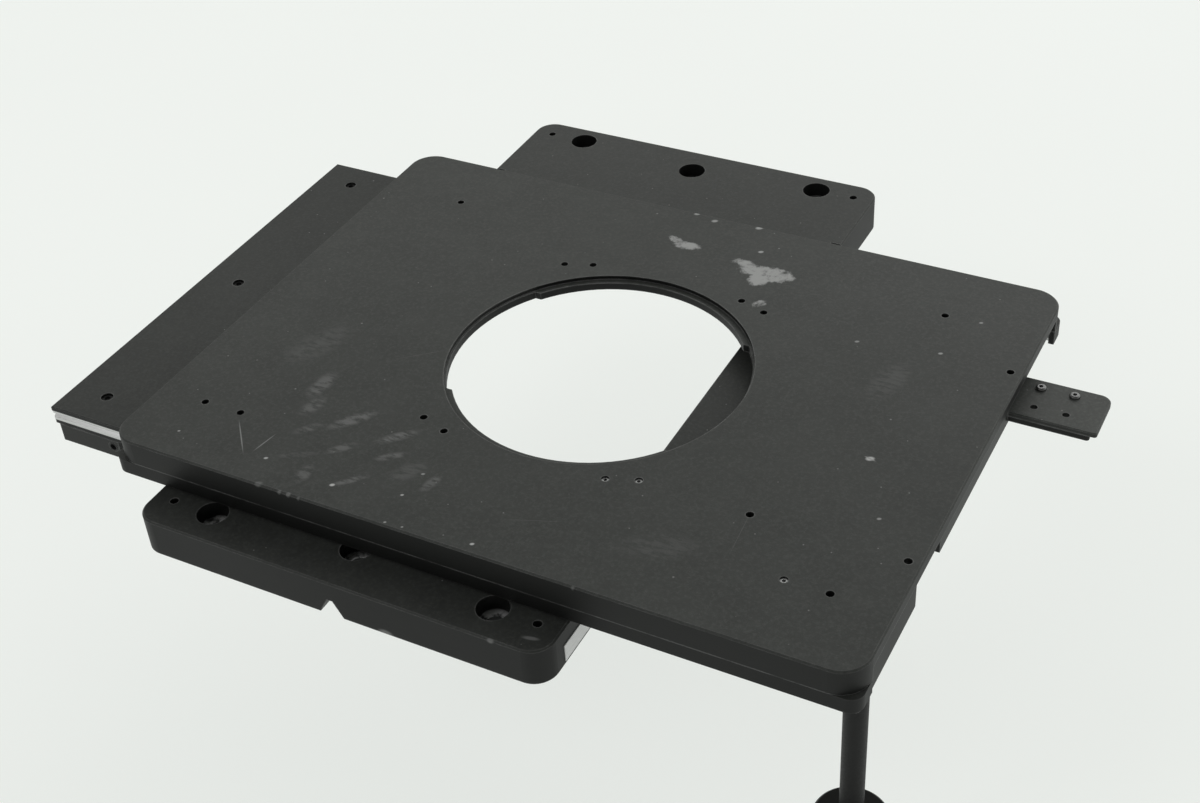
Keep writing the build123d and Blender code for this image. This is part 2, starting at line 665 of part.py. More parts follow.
def belt_guard():
    """Thin folded cover over the right end of the drive belt."""
    x0, x1 = GUARD_X
    y0, y1 = COLUMN_Y - 9.0, COLUMN_Y + 9.0
    guard = block(x0, x1, y0, y1, MID_TOP, GUARD_TOP)
    guard = fillet(guard.edges().filter_by(Axis.X).group_by(Axis.Z)[-1], 0.6)
    guard -= block(x0 - 1, x1 - 1.0, y0 + 1.0, y1 - 1.0, MID_TOP - 1, GUARD_TOP - 0.7)
    return at_middle(guard)


def x_belt():
    outer = PULLEY_R + BELT_THICK
    loop = SlotCenterToCenter(COLUMN_X - IDLER_X, 2 * outer)
    hollow = SlotCenterToCenter(COLUMN_X - IDLER_X, 2 * PULLEY_R)
    belt = extrude(loop - hollow, BELT_TOP - BELT_BOTTOM)
    return at_middle(Pos((COLUMN_X + IDLER_X) / 2, COLUMN_Y, BELT_BOTTOM) * belt)


def idler_pin():
    pin = drum(IDLER_X, COLUMN_Y, MID_BOTTOM, PULLEY_TOP + 0.3, 1.5)
    pin += drum(IDLER_X, COLUMN_Y, PULLEY_TOP + 0.3, PULLEY_TOP + 0.9, 2.6)
    return at_middle(pin)


def idler_pulley():
    pulley = flanged_pulley(IDLER_X, 1.5 + RUN_GAP)
    return at_middle(pulley)


def flanged_pulley(x, bore):
    waist = PULLEY_R - 0.06
    pulley = drum(x, COLUMN_Y, PULLEY_BOTTOM, PULLEY_TOP, waist)
    return pulley - drum(x, COLUMN_Y, PULLEY_BOTTOM - 1, PULLEY_TOP + 1, bore)


# ---------------------------------------------------------------- turning handle parts

def involute_like_pinion():
    """Pinion with straight-sided teeth, one gap facing -X."""
    tip_r = PITCH_R + GEAR_MODULE * 0.85
    root_r = PITCH_R - GEAR_MODULE * 1.1
    step = 360.0 / GEAR_TEETH
    half_pitch = 90.0 / GEAR_TEETH
    slack = math.degrees(TOOTH_BACKLASH / 2 / PITCH_R)
    points = []
    for k in range(GEAR_TEETH):
        middle = 180.0 + step / 2 + k * step
        for radius, half in ((root_r, half_pitch * 1.45), (PITCH_R, half_pitch - slack),
                             (tip_r, half_pitch * 0.42)):
            points.append(polar(0, 0, radius, middle - half))
        for radius, half in ((tip_r, half_pitch * 0.42), (PITCH_R, half_pitch - slack),
                             (root_r, half_pitch * 1.45)):
            points.append(polar(0, 0, radius, middle + half))
    profile = make_face(Polyline(*points, close=True))
    return extrude(profile, GEAR_TOP - GEAR_BOTTOM)


def y_pinion():
    pinion = Pos(COLUMN_X, COLUMN_Y, GEAR_BOTTOM) * involute_like_pinion()
    pinion -= drum(COLUMN_X, COLUMN_Y, 0, GEAR_TOP + 1, SLEEVE_R)
    return at_middle(pinion)


def y_sleeve():
    bottom = KNOB_TOP - Y_KNOB_HEIGHT + 1.0
    sleeve = drum(COLUMN_X, COLUMN_Y, bottom, 10.4, SLEEVE_R)
    return at_middle(sleeve - drum(COLUMN_X, COLUMN_Y, bottom - 1, 11, SLEEVE_BORE_R))


def fluted(z0, z1, radius, flutes):
    """Grip cylinder with shallow flutes round it."""
    grip = drum(0, 0, z0, z1, radius)
    for k in range(flutes):
        x, y = polar(0, 0, radius + 0.55, 360.0 * k / flutes)
        grip -= drum(x, y, z0 + 2.0, z1 - 2.0, 1.0)
    return grip


def y_knob():
    """Upper ring knob: turns the outer sleeve."""
    bottom = KNOB_TOP - Y_KNOB_HEIGHT
    knob = fluted(bottom, KNOB_TOP, Y_KNOB_R, 30)
    knob = chamfer_ends(knob, bottom, KNOB_TOP, Y_KNOB_R, 0.8)
    knob -= drum(0, 0, KNOB_TOP - 7.6, KNOB_TOP + 1, TUBE_R + 0.3)
    knob -= drum(0, 0, bottom - 1, KNOB_TOP, SLEEVE_R)
    return at_middle(Pos(COLUMN_X, COLUMN_Y, 0) * knob)


def chamfer_ends(body, z0, z1, radius, size):
    """Bevel both rims of a knob by cutting away the ring outside a cone at each end."""
    top = drum(0, 0, z1 - size, z1, radius + 1) - cone(0, 0, z1 - size, z1, radius, radius - size)
    foot = drum(0, 0, z0, z0 + size, radius + 1) - cone(0, 0, z0, z0 + size, radius - size, radius)
    return body - top - foot


def x_knob():
    """Lower knob: turns the inner shaft."""
    top = KNOB_TOP - Y_KNOB_HEIGHT - KNOB_GAP
    bottom = top - X_KNOB_HEIGHT
    knob = fluted(bottom, top, X_KNOB_R, 26)
    knob = chamfer_ends(knob, bottom, top, X_KNOB_R, 0.8)
    knob -= drum(0, 0, bottom + 4.0, top + 1, SHAFT_R)
    knob -= drum(0, 0, bottom - 1, bottom + 1.2, 7.5)
    return at_middle(Pos(COLUMN_X, COLUMN_Y, 0) * knob)


def x_knob_cap():
    top = KNOB_TOP - Y_KNOB_HEIGHT - KNOB_GAP
    bottom = top - X_KNOB_HEIGHT
    return at_middle(drum(COLUMN_X, COLUMN_Y, bottom, bottom + 1.2, 7.4))


def x_shaft():
    bottom = KNOB_TOP - Y_KNOB_HEIGHT - KNOB_GAP - X_KNOB_HEIGHT + 4.0
    shaft = drum(COLUMN_X, COLUMN_Y, bottom, PULLEY_TOP, SHAFT_R)
    return at_middle(shaft)


def x_pulley():
    return at_middle(flanged_pulley(COLUMN_X, SHAFT_R))


def knob_set_screws(z, inner):
    screws = []
    for angle in (90, 210):
        turn = Rot(0, 0, angle)
        pin = turn * rod_x(inner, inner + 4.0, 0, z, 1.25)
        socket = turn * rod_x(inner + 2.6, inner + 5.0, 0, z, 0.6)
        screws.append(Pos(COLUMN_X, COLUMN_Y, 0) * (pin - socket))
    return at_middle(group(screws))


def set_screw_holes(knob, z, radius, inner):
    for angle in (90, 210):
        hole = Rot(0, 0, angle) * rod_x(inner, radius + 1, 0, z, 1.25)
        knob -= at_middle(Pos(COLUMN_X, COLUMN_Y, 0) * hole)
    return knob


# ---------------------------------------------------------------- top plate

def top_plate():
    half_w, half_d = TOP_WIDTH / 2, TOP_DEPTH / 2
    plate = slab(-half_w, half_w, -half_d, half_d, LIP_BOTTOM, TOP_FACE, TOP_CORNER)
    plate = chamfer_top(plate, TOP_FACE, EDGE_CHAMFER)
    plate -= block(-half_w - 1, half_w + 1, -half_d + LIP_WIDTH, half_d - LIP_WIDTH,
                   LIP_BOTTOM - 1, TOP_UNDERSIDE)
    plate -= drum(0, 0, LIP_BOTTOM, TOP_FACE + 1, LEDGE_R)
    plate -= drum(0, 0, TOP_FACE - SEAT_DEPTH, TOP_FACE + 1, SEAT_R)
    side_cut = block(-SEAT_R - 1, SEAT_R + 1, -LEDGE_CUT_HALF, LEDGE_CUT_HALF, LIP_BOTTOM, TOP_FACE + 1)
    plate -= side_cut & drum(0, 0, LIP_BOTTOM, TOP_FACE + 1, LEDGE_SIDE_R)
    for x, y in TOP_HOLES:
        plate -= drum(x, y, TOP_UNDERSIDE - 1, TOP_FACE + 1, TOP_HOLE_R)
    for side in (-1, 1):
        for x in BAR_SCREW_X:
            plate -= drum(x, side * (half_d - BAR_WIDTH / 2), LIP_BOTTOM - 1, LIP_BOTTOM + 5, 1.25)
        holes = screw_holes_x(-X_OUTER_HALF, X_OUTER_HALF, LIP_BOTTOM, 3.4)
        for hole in holes:
            placed = front_face_rail(hole, half_d - BAR_WIDTH)
            plate -= placed if side > 0 else mirror(placed, Plane.XZ)
    for x in CLAMP_SCREW_X:
        plate -= drum(x, CLAMP_Y, TOP_UNDERSIDE - 1, TOP_UNDERSIDE + 3, 1.05)
    return at_top(plate)


def edge_bar(side):
    """Bar under the front or back lip that closes the guide from outside."""
    half_w, half_d = TOP_WIDTH / 2, TOP_DEPTH / 2
    bar = slab(-half_w, half_w, -half_d, half_d, BAR_BOTTOM, LIP_BOTTOM, BAR_CORNER)
    bar &= block(-half_w - 1, half_w + 1, half_d - LIP_WIDTH, half_d + 1, BAR_BOTTOM, LIP_BOTTOM)
    bar -= block(-X_OUTER_HALF, X_OUTER_HALF, 0, half_d - BAR_WIDTH, BAR_BOTTOM - 1, LIP_BOTTOM + 1)
    for x in BAR_SCREW_X:
        bar -= drum(x, half_d - BAR_WIDTH / 2, BAR_BOTTOM - 1, LIP_BOTTOM + 1, 1.35)
        bar -= drum(x, half_d - BAR_WIDTH / 2, BAR_BOTTOM - 1, BAR_BOTTOM + 2.0, 2.0)
    return at_top(bar if side > 0 else mirror(bar, Plane.XZ))


def bar_screws():
    screws = []
    for side in (-1, 1):
        for x in BAR_SCREW_X:
            y = side * (TOP_DEPTH / 2 - BAR_WIDTH / 2)
            screw = mirror(socket_screw(x, y, 0, 1.9, 1.7, 1.2, 7.4), Plane.XY)
            screws.append(Pos(0, 0, BAR_BOTTOM + 2.0) * screw)
    return at_top(group(screws))


def x_outer_rails():
    back = TOP_DEPTH / 2 - BAR_WIDTH
    rail = Pos(0, 0, X_RAIL_BOTTOM) * rail_with_holes(-X_OUTER_HALF, X_OUTER_HALF, False)
    placed = front_face_rail(rail, back)
    keep("x_rail_outer_back", at_top(placed))
    keep("x_rail_outer_front", at_top(mirror(placed, Plane.XZ)))
    screws = [front_face_rail(Pos(0, 0, X_RAIL_BOTTOM) * screw, back)
              for screw in rail_screws(-X_OUTER_HALF, X_OUTER_HALF, False)]
    mirrored = [mirror(screw, Plane.XZ) for screw in screws]
    keep("x_rail_outer_screws", at_top(group(screws + mirrored)))


def grub_screws():
    screws = []
    for x, y in GRUB_HOLES:
        screw = drum(x, y, TOP_UNDERSIDE + 0.3, TOP_FACE - 0.5, TOP_HOLE_R - 0.05)
        screw -= Pos(x, y, TOP_FACE - 1.6) * extrude(RegularPolygon(0.7, 6), 3)
        screws.append(screw)
    return at_top(group(screws))


def belt_clamp():
    """Fork under the top plate that holds the front run of the drive belt."""
    run = COLUMN_Y - PULLEY_R - BELT_THICK / 2
    clamp = block(-CLAMP_HALF, CLAMP_HALF, run - 5.2, run + 2.6, MID_TOP + 0.5, TOP_UNDERSIDE)
    clamp -= block(-CLAMP_HALF - 1, CLAMP_HALF + 1, run - 0.85, run + 0.85, MID_TOP, BELT_TOP + 0.3)
    for x in CLAMP_SCREW_X:
        clamp -= drum(x, CLAMP_Y, MID_TOP, TOP_UNDERSIDE + 1, 1.15)
        clamp -= drum(x, CLAMP_Y, MID_TOP, MID_TOP + 2.4, 2.0)
    return at_top(clamp)


def belt_clamp_screws():
    screws = []
    for x in CLAMP_SCREW_X:
        screw = mirror(socket_screw(x, CLAMP_Y, 0, 1.9, 1.6, 1.0, 5.0), Plane.XY)
        screws.append(Pos(0, 0, MID_TOP + 2.4) * screw)
    return at_top(group(screws))


# ---------------------------------------------------------------- rolling cages

def x_cages():
    centre_z = X_RAIL_BOTTOM + RAIL_HEIGHT / 2
    line = X_INNER_FACE + RAIL_GAP / 2
    shift = Pos(MID_X + REST_X / 2, REST_Y, 0)
    rollers = []
    for side, name in ((-1, "front"), (1, "back")):
        place = shift * Pos(0, side * line, 0)
        keep("x_cage_" + name, place * roller_cage(X_CAGE_LENGTH, centre_z))
        rollers += [place * roller for roller in crossed_rollers(X_CAGE_LENGTH, centre_z)]
    keep("x_rollers", group(rollers))


def y_cages():
    centre_z = Y_RAIL_BOTTOM + RAIL_HEIGHT / 2
    line = Y_RAIL_X + RAIL_WIDTH + RAIL_GAP / 2
    rollers = []
    for side, name in ((-1, "left"), (1, "right")):
        place = Pos(side * line, REST_Y / 2, 0) * Rot(0, 0, 90)
        keep("y_cage_" + name, place * roller_cage(Y_CAGE_LENGTH, centre_z))
        rollers += [place * roller for roller in crossed_rollers(Y_CAGE_LENGTH, centre_z)]
    keep("y_rollers", group(rollers))


# ---------------------------------------------------------------- build

def build():
    keep("base_plate", base_plate())
    keep("name_plate", name_plate())
    base_guides()
    keep("rack_bracket", rack_bracket())
    keep("rack_bracket_screws", rack_bracket_screws())
    keep("y_rack", y_rack())
    keep("middle_plate", middle_plate())
    x_inner_rails()
    y_outer_rails()
    keep("left_cover", left_cover())
    keep("left_cover_screws", cover_screws())
    keep("left_beam", left_beam())
    keep("stop_buffers", stop_buffers())
    keep("side_bracket", side_bracket())
    keep("side_bracket_stiffener", side_bracket_stiffener())
    keep("side_bracket_screws", side_bracket_screws())
    keep("drive_housing", drive_housing())
    keep("drive_housing_screws", housing_screws())
    keep("column_tube", column_tube())
    keep("column_screws", column_screws())
    bushes()
    keep("belt_guard", belt_guard())
    keep("x_belt", x_belt())
    keep("idler_pin", idler_pin())
    keep("idler_pulley", idler_pulley())
    y_screw_z = KNOB_TOP - Y_KNOB_HEIGHT + 4.0
    x_screw_z = KNOB_TOP - Y_KNOB_HEIGHT - KNOB_GAP - 6.0
    keep("y_knob", set_screw_holes(y_knob(), y_screw_z, Y_KNOB_R, SLEEVE_R))
    keep("y_knob_set_screws", knob_set_screws(y_screw_z, SLEEVE_R))
    keep("y_sleeve", y_sleeve())
    keep("y_pinion", y_pinion())
    keep("x_knob", set_screw_holes(x_knob(), x_screw_z, X_KNOB_R, SHAFT_R))
    keep("x_knob_set_screws", knob_set_screws(x_screw_z, SHAFT_R))
    keep("x_knob_cap", x_knob_cap())
    keep("x_shaft", x_shaft())
    keep("x_pulley", x_pulley())
    keep("top_plate", top_plate())
    keep("edge_bar_front", edge_bar(-1))
    keep("edge_bar_back", edge_bar(1))
    keep("edge_bar_screws", bar_screws())
    x_outer_rails()
    keep("top_grub_screws", grub_screws())
    keep("belt_clamp", belt_clamp())
    keep("belt_clamp_screws", belt_clamp_screws())
    x_cages()
    y_cages()


build()
os.makedirs("parts", exist_ok=True)
for part_name, part_shape in PARTS.items():
    export_step(part_shape, "parts/" + part_name + ".step")
print(len(PARTS), "nodes written")
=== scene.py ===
import json
import math

import bpy
from mathutils import Matrix, Vector


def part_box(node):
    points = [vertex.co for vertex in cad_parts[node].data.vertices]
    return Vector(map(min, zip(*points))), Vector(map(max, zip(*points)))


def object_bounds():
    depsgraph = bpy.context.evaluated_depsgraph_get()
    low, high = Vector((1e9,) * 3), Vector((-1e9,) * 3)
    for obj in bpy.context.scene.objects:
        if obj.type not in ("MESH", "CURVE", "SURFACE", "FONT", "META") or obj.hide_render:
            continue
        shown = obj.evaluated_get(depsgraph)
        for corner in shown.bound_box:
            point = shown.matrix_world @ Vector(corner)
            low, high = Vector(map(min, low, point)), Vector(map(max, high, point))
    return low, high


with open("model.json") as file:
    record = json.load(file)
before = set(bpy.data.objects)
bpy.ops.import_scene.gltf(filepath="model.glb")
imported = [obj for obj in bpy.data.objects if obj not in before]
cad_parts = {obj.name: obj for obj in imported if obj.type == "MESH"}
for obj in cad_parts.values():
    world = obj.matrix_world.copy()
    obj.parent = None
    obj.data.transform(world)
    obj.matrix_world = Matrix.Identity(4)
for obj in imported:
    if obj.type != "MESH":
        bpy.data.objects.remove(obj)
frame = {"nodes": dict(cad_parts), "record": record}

MM = 0.001
MARK_DEPTH = 1.8 * MM
NODES = frame["nodes"]
CAD_LOW, CAD_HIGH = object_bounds()

# Places that the materials and pieces use, from the frame
TOP_LOW, TOP_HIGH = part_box("top_plate")
TOP_CENTRE = (TOP_LOW + TOP_HIGH) / 2
BASE_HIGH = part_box("base_plate")[1]


# ------------------------------------------------------------------ shader helpers

class Shader:
    """One node material, built by adding nodes and feeding their sockets."""

    def __init__(self, name):
        self.material = bpy.data.materials.new(name)
        self.material.use_nodes = True
        self.tree = self.material.node_tree
        self.tree.nodes.clear()
        self.place = self.add("TexCoord").outputs["Object"]

    def add(self, kind, **settings):
        node = self.tree.nodes.new("ShaderNode" + kind)
        for name, value in settings.items():
            setattr(node, name, value)
        return node

    def feed(self, node, **values):
        """Sets or links inputs by name, with _ for a space."""
        for name, value in values.items():
            socket = node.inputs[name.replace("_", " ")]
            self.join(value, socket)
        return node

    def join(self, value, socket):
        if isinstance(value, bpy.types.NodeSocket):
            self.tree.links.new(value, socket)
        else:
            socket.default_value = value

    def math(self, operation, first, second=0.0):
        node = self.add("Math", operation=operation)
        self.join(first, node.inputs[0])
        self.join(second, node.inputs[1])
        return node.outputs[0]

    def span(self, value, low, high, out_low=0.0, out_high=1.0):
        """Maps value from low..high to out_low..out_high with soft ends."""
        node = self.add("MapRange", interpolation_type="SMOOTHSTEP")
        self.feed(node, Value=value, From_Min=low, From_Max=high, To_Min=out_low, To_Max=out_high)
        return node.outputs[0]

    def mix(self, share, first, second):
        """Blends two colours."""
        node = self.add("Mix", data_type="RGBA")
        self.join(share, node.inputs[0])
        self.join(first, node.inputs[6])
        self.join(second, node.inputs[7])
        return node.outputs[2]

    def stretched(self, scale, turn=0.0):
        """Object place, turned about Z by degrees and scaled along each axis."""
        node = self.add("Mapping")
        self.feed(node, Vector=self.place, Scale=scale, Rotation=(0, 0, math.radians(turn)))
        return node.outputs[0]

    def noise(self, scale, detail=3.0, roughness=0.55, vector=None):
        node = self.add("TexNoise")
        self.feed(node, Vector=vector or self.place, Scale=scale, Detail=detail, Roughness=roughness)
        return node.outputs[0]

    def specks(self, scale, size, keep):
        """Scattered round dots: one per cell of a grid, with only a share of the cells kept."""
        cells = self.add("TexVoronoi", feature="F1")
        self.feed(cells, Vector=self.place, Scale=scale, Randomness=1.0)
        dot = self.span(cells.outputs["Distance"], size, size * 0.55)
        split = self.add("SeparateColor")
        self.join(cells.outputs["Color"], split.inputs[0])
        chosen = self.math("GREATER_THAN", split.outputs[0], 1.0 - keep)
        return self.math("MULTIPLY", dot, chosen)

    def edges(self, width):
        """1 along the solid's outer edges and 0 on its flats."""
        bevel = self.add("Bevel", samples=6)
        self.feed(bevel, Radius=width)
        flat = self.add("NewGeometry")
        dot = self.add("VectorMath", operation="DOT_PRODUCT")
        self.join(bevel.outputs[0], dot.inputs[0])
        self.join(flat.outputs["Normal"], dot.inputs[1])
        turned = self.math("SUBTRACT", 1.0, dot.outputs["Value"])
        return self.span(turned, 0.02, 0.25)

    def bump(self, height, strength, distance, normal=None):
        node = self.add("Bump")
        self.feed(node, Height=height, Strength=strength, Distance=distance)
        if normal is not None:
            self.join(normal, node.inputs["Normal"])
        return node.outputs[0]

    def near(self, point, reach, turn=0.0):
        """1 at a point in the frame and 0 past an ellipsoid of half-sizes reach, turned in plan."""
        away = self.add("VectorMath", operation="SUBTRACT")
        self.join(self.place, away.inputs[0])
        away.inputs[1].default_value = point
        spin = self.add("VectorRotate", rotation_type="Z_AXIS")
        self.join(away.outputs[0], spin.inputs["Vector"])
        spin.inputs["Angle"].default_value = -math.radians(turn)
        scaled = self.add("VectorMath", operation="DIVIDE")
        self.join(spin.outputs[0], scaled.inputs[0])
        scaled.inputs[1].default_value = (reach[0], reach[1], MARK_DEPTH)
        length = self.add("VectorMath", operation="LENGTH")
        self.join(scaled.outputs[0], length.inputs[0])
        return self.span(length.outputs["Value"], 1.0, 0.35)

    def facing_up(self):
        """1 on faces that look up and 0 on upright ones."""
        split = self.add("SeparateXYZ")
        self.join(self.add("NewGeometry").outputs["Normal"], split.inputs[0])
        return self.span(split.outputs[2], 0.3, 0.9)

    def height(self):
        split = self.add("SeparateXYZ")
        self.join(self.place, split.inputs[0])
        return split.outputs[2]

    def below(self, z, soft):
        return self.span(self.height(), z + soft, z)

    def above(self, z, soft):
        return self.span(self.height(), z - soft, z)

    def surface(self, colour, roughness, metallic=0.0, normal=None, **extra):
        principled = self.add("BsdfPrincipled")
        self.join(colour, principled.inputs["Base Color"])
        self.join(roughness, principled.inputs["Roughness"])
        self.join(metallic, principled.inputs["Metallic"])
        if normal is not None:
            self.join(normal, principled.inputs["Normal"])
        self.feed(principled, **extra)
        output = self.add("OutputMaterial")
        self.tree.links.new(principled.outputs[0], output.inputs[0])
        return self.material


def grey(level, warmth=0.0):
    return (level * (1 + warmth), level, level * (1 - warmth), 1.0)


# ------------------------------------------------------------------ materials

def black(level):
    """A black with the slight green of old dye."""
    return (level * 0.98, level * 1.03, level * 0.97, 1.0)


def anodised(name, marks=None, level=0.017, upright_shade_share=0.25, wear_and_highlight=1.0):
    """Fine-blasted black anodising: cloudy tone, painted shade on upright faces, dusty upper faces, worn
    edges with a painted highlight, and specks.
    """
    s = Shader(name)
    cloud = s.noise(7.0, detail=5.0, roughness=0.6)
    mottle = s.noise(55.0, detail=6.0, roughness=0.7)
    powder = s.span(s.noise(820.0, detail=5.0, roughness=0.7), 0.42, 0.72)
    grain = s.noise(2400.0, detail=2.0)
    up = s.facing_up()
    patchy = s.span(cloud, 0.3, 0.7)
    # Painted shade: upright faces take a darker copy of the black, scaled by the upright share of its
    # level.
    upright = s.mix(patchy, black(level * upright_shade_share), black(level * upright_shade_share * 1.4))
    flat = s.mix(patchy, black(level), black(level * 1.4))
    colour = s.mix(up, upright, flat)
    dust = s.math("MULTIPLY", up, s.span(mottle, 0.30, 0.75, 0.35, 0.9))
    colour = s.mix(dust, colour, black(level * 2.1))
    powdered = s.math("MULTIPLY", powder, s.math("MULTIPLY", up, 0.55))
    colour = s.mix(powdered, colour, black(level * 3.4))
    grained = s.math("MULTIPLY", s.span(grain, 0.35, 0.75, 0.0, 0.4), up)
    colour = s.mix(grained, colour, black(level * 1.9))
    # Lighter grey along the edges, broken by noise but never fully gone: partly real edge wear, partly a
    # painted highlight on the chamfers.
    edge = s.edges(1.0 * MM)
    broken = s.span(s.noise(120.0, detail=5.0, roughness=0.7), 0.35, 0.60, 0.25, 0.75)
    edge_wear_and_highlight = s.math("MULTIPLY", s.math("MULTIPLY", edge, broken), wear_and_highlight)
    colour = s.mix(edge_wear_and_highlight, colour, grey(0.20))
    fluff = s.math("MAXIMUM", s.specks(150.0, 0.07, 0.10), s.specks(330.0, 0.11, 0.09))
    colour = s.mix(s.math("MULTIPLY", s.math("MULTIPLY", fluff, up), 0.6), colour, grey(0.24))
    roughness = s.span(cloud, 0.2, 0.8, 0.46, 0.58)
    if marks:
        colour, roughness = marks(s, colour, roughness)
    height = s.math("ADD", s.math("MULTIPLY", s.noise(900.0, detail=3.0), 0.6), grain)
    return s.surface(colour, roughness, normal=s.bump(height, 0.22, 0.00012),
                     Specular_IOR_Level=0.24)


# Marks on the top plate, from its centre: x, y, half-length, half-width, direction in degrees,
# strength. They are millimetres.
SMEARS = (
    (-83, -49, 10, 4.4, 88, 0.80), (-79, -60, 7, 4.0, 75, 0.70), (-73, -70.5, 7, 2.6, 50, 0.60),
    (-62, -61, 11, 3.4, 52, 1.00), (-43, -62.5, 9.5, 2.8, 45, 1.00), (-57, -75, 7, 2.4, 47, 0.75),
    (-39.5, -72, 7, 2.2, 38, 0.85), (-61, -91, 6, 3.4, 95, 0.70), (-45, -87.5, 8, 1.8, 45, 0.90),
    (-20, -78, 6.5, 2.6, 80, 0.70), (-30, -76, 9, 5.0, 60, 0.40), (-69, -84, 9, 1.8, 30, 0.40),
    (-98, -30, 20, 9.0, 70, 0.30), (60, -75, 18, 7.0, 20, 0.25), (95, 30, 16, 7.0, 80, 0.30),
)
PATCHES = ((30, 74, 14, 5.0, 15, 1.0), (22.5, 76, 9.5, 3.6, -10, 0.9), (30.5, 68.5, 6.5, 6.0, 60, 1.1),
           (37, 72.5, 9.0, 5.6, 20, 0.95), (-3.5, 79, 8.0, 4.2, 5, 0.95), (-9, 81, 6.0, 3.0, -20, 0.8),
           (37, 54.5, 5.0, 3.2, 60, 0.75))
SPECKS = ((-9.2, 100.6, 1.6, 0.6), (-0.8, 98.5, 1.7, 0.6), (17.0, 100.4, 1.9, 0.7),
          (24.1, 85.5, 1.4, 0.7), (77.2, 46.5, 1.1, 0.5), (105.8, 51.1, 1.1, 0.6),
          (112.9, 73.6, 1.0, 0.5), (-113.4, -89.6, 0.7, 0.6), (-77.3, -89.4, 1.0, 0.8),
          (-49.2, -91.8, 1.2, 1.0), (-25.6, -86.8, 0.8, 0.8), (-24.9, -75.3, 0.9, 0.5),
          (-23.6, -100.0, 0.7, 0.6), (-17.4, -99.7, 0.6, 0.6), (6.8, -97.5, 1.0, 0.9),
          (116.2, -36.6, 1.0, 0.5), (103.6, -10.9, 1.9, 1.0),
          (-72, -101.0, 1.9, 0.16), (-63.5, -101.4, 1.1, 0.20), (-60, -101.3, 1.3, 0.24),
          (-56, -101.4, 0.9, 0.16), (44, -101.4, 0.9, 0.14))
SCRATCHES = ((-91.8, -83.6, 11, 0.30, -49, 0.60), (-82.6, -83.0, 6.5, 0.34, 81, 0.50),
             (103.6, -10.9, 2.6, 0.5, -14, 0.9), (-60, -20, 14, 0.18, 40, 0.10),
             (20, -80, 12, 0.18, 20, 0.10), (80, -60, 13, 0.18, 95, 0.10))


# The base's six screw seats, about its screw pattern's centre
SCREW_SEATS = ((-54, -132), (-54, 132), (0, -127), (0, 127), (54, -132), (54, 132))
SCREW_SEAT_DEPTH = 6.5 * MM
SCREW_SEAT_REACH = 7.5 * MM

# Chips in the base's paint: x, y, z, half-length, half-width, direction.
BASE_CHIPS = ((71, -138.5, 14, 3.6, 1.0, 12), (20.4, -144.3, 0.3, 3.6, 2.0, 0),
              (60, -144.1, 13.9, 1.6, 0.7, 0))


def on_top(x, y):
    return TOP_CENTRE.x + x * MM, TOP_CENTRE.y + y * MM, TOP_HIGH.z


def chalk(s):
    """Dried chalky spills: joined blobs with ragged, thinned edges."""
    spill = 0.0
    for x, y, length, width, turn, strength in PATCHES:
        blob = s.math("MULTIPLY", s.near(on_top(x, y), (length * MM, width * MM), turn), strength)
        spill = s.math("MAXIMUM", blob, spill)
    ragged = s.math("MULTIPLY", s.noise(330.0, detail=8.0, roughness=0.75), 2.2)
    body = s.span(s.math("ADD", spill, ragged), 1.50, 2.15)
    return s.math("MULTIPLY", body, s.span(spill, 0.02, 0.30))


def top_marks(s, colour, roughness):
    """Smears, chalky patches, specks and scratches on the top plate's face."""
    streaky = s.noise(1.0, detail=5.0, roughness=0.65, vector=s.stretched((210, 640, 210), turn=-48))
    streaky = s.span(streaky, 0.36, 0.60)
    for x, y, length, width, turn, strength in SMEARS:
        spot = s.near(on_top(x, y), (length * MM, width * MM), turn)
        share = s.math("MULTIPLY", s.math("MULTIPLY", spot, streaky), strength)
        colour = s.mix(share, colour, grey(0.13))
    colour = s.mix(s.math("MULTIPLY", chalk(s), 0.9), colour, grey(0.40))
    for x, y, size, strength in SPECKS:
        spot = s.near(on_top(x, y), (size * MM, size * 0.7 * MM), 30)
        colour = s.mix(s.math("MULTIPLY", spot, strength), colour, grey(0.50))
    for x, y, length, width, turn, strength in SCRATCHES:
        line = s.near(on_top(x, y), (length * MM, width * MM), turn)
        colour = s.mix(s.math("MULTIPLY", line, strength), colour, grey(0.32))
    return colour, roughness


def base_marks(s, colour, roughness):
    """Bare metal where screw heads pressed in the counterbores, and small chips."""
    seat = BASE_HIGH.z - SCREW_SEAT_DEPTH
    ring = s.math("MULTIPLY", s.below(seat + 0.4 * MM, 0.6 * MM), s.above(seat - 0.3 * MM, 0.5 * MM))
    pressed = s.span(s.noise(300.0, detail=4.0), 0.38, 0.55)
    for x, y in SCREW_SEATS:
        bare = s.near((x * MM, y * MM, seat), (SCREW_SEAT_REACH, SCREW_SEAT_REACH))
        share = s.math("MULTIPLY", s.math("MULTIPLY", bare, ring), pressed)
        colour = s.mix(share, colour, grey(0.55))
    for x, y, z, length, width, turn in BASE_CHIPS:
        chip = s.near((x * MM, y * MM, z * MM), (length * MM, width * MM), turn)
        colour = s.mix(s.math("MULTIPLY", chip, 0.9), colour, grey(0.16))
    return colour, roughness


def ground_steel(name, along=(1, 0, 0)):
    """Surface-ground steel: fine lines along one axis, faint oil stains."""
    s = Shader(name)
    scale = tuple(18 if a else 2200 for a in along)
    lines = s.noise(1.0, detail=5.0, roughness=0.65, vector=s.stretched(scale))
    stains = s.span(s.noise(35.0, detail=4.0), 0.5, 0.75)
    colour = s.mix(s.span(lines, 0.3, 0.7), grey(0.48), grey(0.66))
    colour = s.mix(s.math("MULTIPLY", stains, 0.4), colour, grey(0.34, 0.05))
    roughness = s.span(lines, 0.3, 0.7, 0.26, 0.42)
    return s.surface(colour, roughness, 1.0, s.bump(lines, 0.10, 0.00005))


